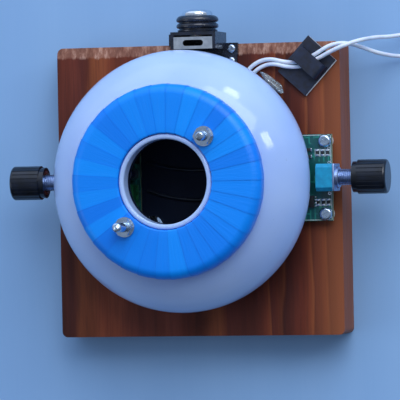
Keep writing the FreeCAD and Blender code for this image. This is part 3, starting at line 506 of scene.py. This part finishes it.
def coil_points(route, first, last):
    """Points round the coil that a route's last run joins at its side, between two counts of turns."""
    end, before = Vector(route[-1]), Vector(route[-2])
    way = (end - before).normalized()
    aside = Vector((way.y, -way.x, 0))
    touch = end + way * coil_lead_in
    middle = touch + aside * coil_outer
    swell = 1 / (0.75 + 0.25 * math.cos(2 * math.pi / points_per_turn))  # a spline cuts inside its points
    points = []
    for i in range(round(first * points_per_turn), round(last * points_per_turn) + 1):
        turn = i / points_per_turn
        radius, lift = coil_section(turn)
        angle = -2 * math.pi * turn
        out = Matrix.Rotation(angle, 3, "Z") @ (-aside)
        points.append(middle + out * radius * swell + UP * lift)
    return points


def spline_curve(name, points, radius):
    """A curve with one smooth open NURBS line through the pull of its points."""
    data = bpy.data.curves.new(name, "CURVE")
    data.dimensions = "3D"
    line = data.splines.new("NURBS")
    line.points.add(len(points) - 1)
    for point, place in zip(line.points, points):
        point.co = (*place, 1.0)
    line.order_u = 3
    line.use_endpoint_u = True
    line.resolution_u = 6
    data.bevel_depth = radius
    data.bevel_resolution = 5
    data.use_fill_caps = True
    curve = bpy.data.objects.new(name, data)
    bpy.context.scene.collection.objects.link(curve)
    return curve


for letter, route in lead_routes.items():
    points = [Vector(p) for p in route] + coil_points(route, 0, coil_turns)
    lead = spline_curve("lead_" + letter + "_cord", points, lead_r * MM)
    settle(lead, insulation, stands_for=("lead_" + letter, "lead_" + letter + "_coil"))
    tail = coil_points(route, coil_turns - 1 / points_per_turn, coil_turns + 2 / points_per_turn)
    bare = spline_curve("lead_" + letter + "_bare_end", tail, bare_r * MM)
    settle(bare, tinned)


# ---- tape: overlapped strips of vinyl round the ring ----
def ring_outline():
    """The taped ring's section, tightly rounded inside and widely outside, as (radius, height) points."""
    inner, edge_r, rim_r = ring_bore - 0.3, 0.7, 4.2
    low, foot_edge = ring_foot + 0.1, 0.6
    points = [(inner, low)]
    for i in range(6):
        a = math.radians(180 - 90 * i / 5)
        points.append((inner + edge_r + edge_r * math.cos(a), ring_top - edge_r + edge_r * math.sin(a)))
    level_run = ring_rim - rim_r - edge_r - inner
    for i in range(1, 6):
        points.append((inner + edge_r + level_run * i / 6, ring_top))
    for i in range(10):
        a = math.radians(90 - 90 * i / 9)
        points.append((ring_rim - rim_r + rim_r * math.cos(a), ring_top - rim_r + rim_r * math.sin(a)))
    points.append((ring_rim, ring_foot + foot_edge))
    points.append((ring_rim - foot_edge, low))
    return points


def tape_strips(count=33, overlap=3.8, drop=0.22):
    """Strips laid round the ring, each lapping the next by overlap degrees and sinking drop mm under it.

    The strip map holds the strip's number plus the share across it, and the way along it.
    """
    shape = bmesh.new()
    shape.loops.layers.uv.new("strip")
    chance = random.Random(11)
    pitch = 360.0 / count
    width = pitch + overlap
    middle_r = (ring_bore + ring_rim) / 2
    for k in range(count):
        jitter = chance.uniform(-0.6, 0.6)
        slant = math.radians(chance.uniform(-1.2, 1.2))
        start = k * pitch + jitter
        strip = spun(ring_outline(), steps=6, angle=width)
        uv = strip.loops.layers.uv.new("strip")
        for face in strip.faces:
            for loop in face.loops:
                co = loop.vert.co
                across = math.degrees(math.atan2(co.y, co.x)) / width
                along = (math.hypot(co.x, co.y) - ring_bore + ring_top - co.z) / 30
                loop[uv].uv = (k + min(max(across, 0.001), 0.999), along)
        for vert in strip.verts:
            r = math.hypot(vert.co.x, vert.co.y)
            across = math.degrees(math.atan2(vert.co.y, vert.co.x)) / width
            sink = drop * across
            inward = (r - middle_r) / (ring_rim - middle_r)
            pull = max(-1.0, min(1.0, inward)) ** 3
            scale = (r - sink * pull) / r
            fan = slant * (r - middle_r) / middle_r
            turn = math.radians(start) + fan
            x, y = vert.co.x * scale, vert.co.y * scale
            top_share = max(0.0, (vert.co.z - ring_foot) / (ring_top - ring_foot))
            c, s = math.cos(turn), math.sin(turn)
            vert.co = Vector((x * c - y * s, x * s + y * c, vert.co.z - sink * top_share))
        join(shape, strip)
    return put(shape, (dome_x, dome_y, 0))


make_piece("tape_strips", tape_strips(), vinyl, stands_for=["blue_tape_wrap"], corner=50)


# ---- clamping studs with real threads ----
studs = bmesh.new()
for stud, tip_z in stud_tips.items():
    rod = threaded_rod(stud_r, m4_pitch, tip_z - stud_low)
    join(studs, put(rod, stud_place(stud, stud_low)))
make_piece("threaded_studs", studs, zinc, stands_for=["clamp_studs"], corner=70)


# ---- control modules ----
plate_wide, plate_thick = 11.8, 0.9
housing_overhang = 2.6


def threaded_bush(side, face):
    """Square plate, round boss and threaded bush, bored for the shaft."""
    out = SIDES[side]
    bore, crest, root, pitch = 3.05, 3.5, 3.08, 0.82
    boss, boss_high, bush_long = 4.7, 1.3, 8.9
    outline = [(bore, 0.0), (boss, 0.0), (boss, boss_high - 0.4), (boss - 0.35, boss_high),
               (root, boss_high)]
    for i in range(9):
        z = boss_high + 0.1 + i * pitch
        outline += [(root, z), (crest, z + 0.26), (crest, z + 0.42), (root, z + 0.68)]
    outline += [(root, bush_long), (bore, bush_long)]
    shape = spun(outline, steps=48)
    join(shape, slab((plate_wide, plate_wide, plate_thick), (0, 0, -plate_thick / 2), 0.22))
    return put(shape, (out * face, module_y, shaft_z), (out, 0, 0))


def resistor(shape_ink, shape_metal, shape_body, x, y, z):
    """A small chip resistor: black body, bright end caps on pads, and an ink outline round it."""
    join(shape_body, slab((1.25, 1.5, 0.5), (x, y, z + 0.3), 0.06))
    for s in (-1, 1):
        join(shape_metal, slab((1.3, 0.38, 0.54), (x, y + s * 0.9, z + 0.3), 0.08))
        join(shape_metal, slab((1.5, 0.7, 0.1), (x, y + s * 1.15, z + 0.05), 0.04))
    for s in (-1, 1):
        join(shape_ink, slab((0.16, 3.3, 0.05), (x + s * 0.98, y, z + 0.02)))


def board_details(side, edge):
    """Chips, pads, solder and ink on a circuit board."""
    out = SIDES[side]
    body, metal, ink = bmesh.new(), bmesh.new(), bmesh.new()
    for along in (-pcb_half + 8.0, pcb_half - 8.0):
        for i in range(3):
            resistor(ink, metal, body, out * (edge - 1.8 - 2.3 * i), module_y + along, pcb_top)
    # the driver chip and its legs
    x, y = out * (edge - 10.0), module_y - pcb_half + 8.4
    join(body, slab((3.9, 5.0, 1.25), (x, y, pcb_top + 0.78), 0.12))
    for i in range(4):
        for s in (-1, 1):
            join(metal, slab((1.1, 0.42, 0.22), (x + s * 2.35, y + (i - 1.5) * 1.27, pcb_top + 0.14), 0.05))
    for i in range(2):
        y = module_y + pcb_half - 9.6 + 3.0 * i
        join(body, slab((1.9, 1.35, 0.9), (out * (edge - 10.0), y, pcb_top + 0.5), 0.08))
        for s in (-1, 1):
            join(metal, slab((0.4, 1.4, 0.95), (out * (edge - 10.0) + s * 1.1, y, pcb_top + 0.5), 0.08))
    # rows of plated holes with solder in them
    for i in range(5):
        dot = spun([(0, 0.45), (0.3, 0.36), (0.62, 0.12), (0.85, 0.0), (0, 0)], closed=False, steps=14)
        join(metal, put(dot, (out * (edge - 15.5), module_y + 5.4 - 2.54 * i, pcb_top)))
    for along in (-6.9, 6.4, 12.5):
        ring = spun([(0.35, 0.0), (0.75, 0.0), (0.7, 0.06), (0.35, 0.06)], steps=16)
        join(metal, put(ring, (out * (edge - 1.3), module_y + along, pcb_top)))
    # ink lines inside three of the board's edges
    for s in (-1, 1):
        beside = (out * (edge - 15.0), module_y + s * (pcb_half - 0.4), pcb_top + 0.02)
        join(ink, slab((28.4, 0.18, 0.05), beside))
    join(ink, slab((0.18, 36.4, 0.05), (out * (edge - 0.4), module_y, pcb_top + 0.02)))
    return body, metal, ink


reach = {side: max(abs(c.x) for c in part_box(side + "_circuit_board")) / MM for side in SIDES}
plate_reach = {side: reach[side] + housing_overhang + plate_thick for side in SIDES}
for side in SIDES:
    make_piece(side + "_plate_and_bush", threaded_bush(side, plate_reach[side]), nickel,
               stands_for=[side + "_control_bush"], corner=30)
    chips, metal, ink = board_details(side, reach[side])
    make_piece(side + "_chips", chips, epoxy, stands_for=[side + "_surface_parts"])
    make_piece(side + "_solder", metal, solder)
    make_piece(side + "_ink", ink, white_ink)


# ---- push switch: its return spring ----
def coil_spring(length, mean_r, wire_r, coils=3, steps=20):
    """An open coil of round wire along Z, from 0 to length; steps is its cuts per turn."""
    shape = bmesh.new()
    upright = Matrix.Rotation(math.radians(90), 3, "X")
    bmesh.ops.create_circle(shape, cap_ends=False, segments=8, radius=wire_r)
    bmesh.ops.rotate(shape, cent=(0, 0, 0), matrix=upright, verts=shape.verts)
    bmesh.ops.translate(shape, vec=(mean_r, 0, wire_r), verts=shape.verts)
    rise = (length - 2 * wire_r) / (coils * steps)
    bmesh.ops.spin(shape, geom=shape.verts[:] + shape.edges[:], cent=(0, 0, 0), axis=(0, 0, 1),
                   dvec=(0, 0, rise), angle=2 * math.pi * coils, steps=coils * steps,
                   use_merge=False, use_duplicate=False)
    bmesh.ops.holes_fill(shape, edges=[e for e in shape.edges if len(e.link_faces) == 1], sides=0)
    return shape


spring_low, spring_high = (Vector(c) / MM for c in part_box("switch_spring"))
spring_middle = (spring_low + spring_high) / 2
spring_length = spring_high.y - spring_low.y
spring = coil_spring(spring_length, mean_r=4.0, wire_r=0.4)
put(spring, (spring_middle.x, spring_low.y, spring_middle.z), (0, 1, 0))
spring_piece = make_piece("return_spring", spring, spring_steel,
                          stands_for=["switch_spring"])
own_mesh(spring_piece)


# ---- push switch: its bezel, with two wide ribs, and its bright cap ----
frame_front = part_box("switch_bezel")[0].y / MM
bezel_outline = [(3.0, 0.0), (8.5, 0.0), (8.7, 0.3), (8.7, 0.9), (7.9, 1.2), (7.9, 1.5), (8.8, 1.8),
                 (9.1, 2.2), (9.1, 3.1), (8.8, 3.6), (8.0, 3.9), (8.0, 4.2), (8.9, 4.5), (9.2, 5.0),
                 (9.1, 5.7), (8.7, 6.4), (8.1, 6.9), (7.4, 7.2), (6.9, 7.15), (6.75, 6.9), (6.75, 1.2),
                 (3.0, 1.2)]
switch_axis = Vector((spring_middle.x, frame_front, spring_middle.z))
bezel = put(spun(bezel_outline, steps=72), switch_axis, (0, 1, 0))
make_piece("ribbed_bezel", bezel, switch_black, stands_for=["switch_bezel"], corner=50)


def cap_outline(radius, lip, rise, rim_r, wall, swell=0.5, skirt=3.2):
    """A thin cap's section: a low crown, a well rounded rim, its skirt, and back up inside.

    The crown falls by swell from its middle to its rim, and the skirt goes down below the lip.
    """
    flat_r = radius - rim_r
    crown = [(flat_r * i / 6, lip + rise - swell * (i / 6) ** 2) for i in range(6)]
    for i in range(9):
        a = math.radians(75 - 75 * i / 8)
        crown.append((flat_r + rim_r * math.cos(a), lip + rise - swell - rim_r + rim_r * math.sin(a)))
    inside = [(max(r - wall, 0), z - wall) for r, z in reversed(crown)]
    return crown + [(radius, lip - skirt), (radius - wall, lip - skirt)] + inside


cap_section = cap_outline(radius=6.6, lip=7.3, rise=2.7, rim_r=1.8, wall=0.8)
cap = put(spun(cap_section, closed=False, steps=72), switch_axis, (0, 1, 0))
make_piece("domed_cap", cap, chrome, body="push_button", stands_for=["switch_cap"],
           corner=40)


# ---- cable clip's liner paper, a little out of line with its pad ----
clip_turn = 47.6
clip_place = Vector((49.3, 53.1, 19.98))
paper_shift = Matrix.Rotation(math.radians(clip_turn), 3, "Z") @ Vector((0.12, -0.42, 0))
paper_size = (20.3, 16.1, 0.16)
paper = slab(paper_size, clip_place + paper_shift, 0.03, clip_turn)
make_piece("clip_liner_paper", paper, liner_paper)


# ---- glue at the dome's foot beside the leads ----
def glue_blob():
    """A lumpy egg of glue at the dome's foot, cut flat where it meets the board."""
    shape = bmesh.new()
    bmesh.ops.create_icosphere(shape, subdivisions=4, radius=1.0)
    chance = random.Random(4)
    waves = []
    for _ in range(6):
        pace, start = chance.uniform(1.5, 3.5), chance.uniform(0, 6)
        way = Vector((chance.uniform(-1, 1), chance.uniform(-1, 1), chance.uniform(-1, 1)))
        waves.append((pace, start, way))
    for vert in shape.verts:
        swell = sum(0.05 * math.sin(pace * vert.co.dot(way) * 2 + start) for pace, start, way in waves)
        vert.co *= 1 + swell
    turn, off, egg = math.radians(48.0), 56.3, (1.9, 6.4, 3.9)
    place = Vector((dome_x + off * math.cos(turn), dome_y + off * math.sin(turn), 22.4))
    bmesh.ops.scale(shape, vec=egg, verts=shape.verts)
    bmesh.ops.rotate(shape, cent=(0, 0, 0), matrix=Matrix.Rotation(turn, 3, "Z"), verts=shape.verts)
    bmesh.ops.translate(shape, vec=place, verts=shape.verts)
    geom = shape.verts[:] + shape.edges[:] + shape.faces[:]
    bmesh.ops.bisect_plane(shape, geom=geom, dist=1e-4, plane_co=(0, 0, board_top + 0.02),
                           plane_no=(0, 0, -1), clear_outer=True)
    bmesh.ops.holes_fill(shape, edges=[e for e in shape.edges if len(e.link_faces) == 1], sides=0)
    return shape


make_piece("glue_blob", glue_blob(), glue, stands_for=["glue_wedge"], corner=60)


# ---- the CAD pieces that stay, with their finishes ----
finishes = {
    # dome_liner is a near-black sheet inside the dome: painted shade for its dark inside
    "base_board": wood, "dome_shell": acrylic, "dome_liner": shade_liner_finish, "ring_former": spool,
    "toroid_core": core_steel, "toroid_winding": copper, "top_washers": zinc, "top_nuts": zinc,
    "foot_washers": zinc, "foot_nuts": zinc, "under_washers": zinc, "under_nuts": zinc,
    "switch_frame": switch_black, "switch_top_plate": chrome, "switch_plunger": nylon,
    "switch_contacts": brass, "switch_screws": zinc, "clip_foam_pad": foam, "clip_base": clip_black,
    "clip_strap": clip_black, "hookup_wires": hookup,
}
side_finishes = {
    "circuit_board": mask, "board_spacers": nylon, "board_screws": zinc, "control_housing": teal,
    "control_pins": tinned, "control_shaft": nickel, "terminal_block": terminal_green, "capacitor": sleeve,
    "transistor": epoxy, "knob": knob_black, "knob_insert": chrome,
}
for side in SIDES:
    finishes.update({side + "_" + name: finish for name, finish in side_finishes.items()})
for name, finish in finishes.items():
    nodes[name].material_slots[0].material = finish


# ---- floor and light ----
# Painted board: pale blue and matt, with faint brush lines.
floor_paint = plain_finish("pale_painted_floor", "82aad6", "8ab1db", 60.0, (0.7, 0.85), 1.4, 0.03,
                           {"IOR": 1.45}, (1, 0.05, 1))
floor_shape = bmesh.new()
bmesh.ops.create_grid(floor_shape, x_segments=1, y_segments=1, size=3.0)
floor_mesh = bpy.data.meshes.new("floor")
floor_shape.to_mesh(floor_mesh)
floor_shape.free()
floor = bpy.data.objects.new("floor", floor_mesh)
floor.location.z = -0.0001
floor.data.materials.append(floor_paint)
bpy.context.scene.collection.objects.link(floor)

world = bpy.data.worlds.new("soft_room")
world.use_nodes = True
sky = world.node_tree.nodes["Background"]
sky.inputs["Color"].default_value = linear("d0e0fa")
# the room is brighter towards the window, behind the object
room = functools.partial(add, world.node_tree)
towards_back = room("SeparateXYZ", {0: room("TexCoord", take="Generated")}, take="Y")
share = room("MapRange", {0: towards_back, 1: -1.0, 2: 1.0})
glow = room("ValToRGB", {"Fac": share}, ramp=[
    (0.12, "3a3a3a"), (0.5, "929292"), (0.64, "a8a8a8"), (0.88, "ffffff")])
feed(sky, "Strength", room("Math", {0: glow, 1: 1.6}, operation="MULTIPLY"))
bpy.context.scene.world = world


def soft_light(name, place, size, power, colour):
    """A square lamp that faces the object."""
    data = bpy.data.lights.new(name, "AREA")
    data.size = size
    data.energy = power
    data.color = linear(colour)[:3]
    lamp = bpy.data.objects.new(name, data)
    lamp.location = place
    lamp.rotation_euler = (Vector((0, 0, 0.03)) - Vector(place)).to_track_quat("-Z", "Y").to_euler()
    bpy.context.scene.collection.objects.link(lamp)


soft_light("window_light", (0.5, 1.0, 1.3), 1.1, 13.0, "f6f9ff")
soft_light("left_pane", (0.53, 1.24, 0.66), 0.24, 1.6, "f6f9ff")
soft_light("right_pane", (1.11, 0.59, 0.82), 0.24, 1.6, "f6f9ff")
soft_light("side_light", (-1.1, -0.2, 0.9), 0.7, 2.4, "e8f0ff")

bpy.context.scene.view_settings.view_transform = "Standard"
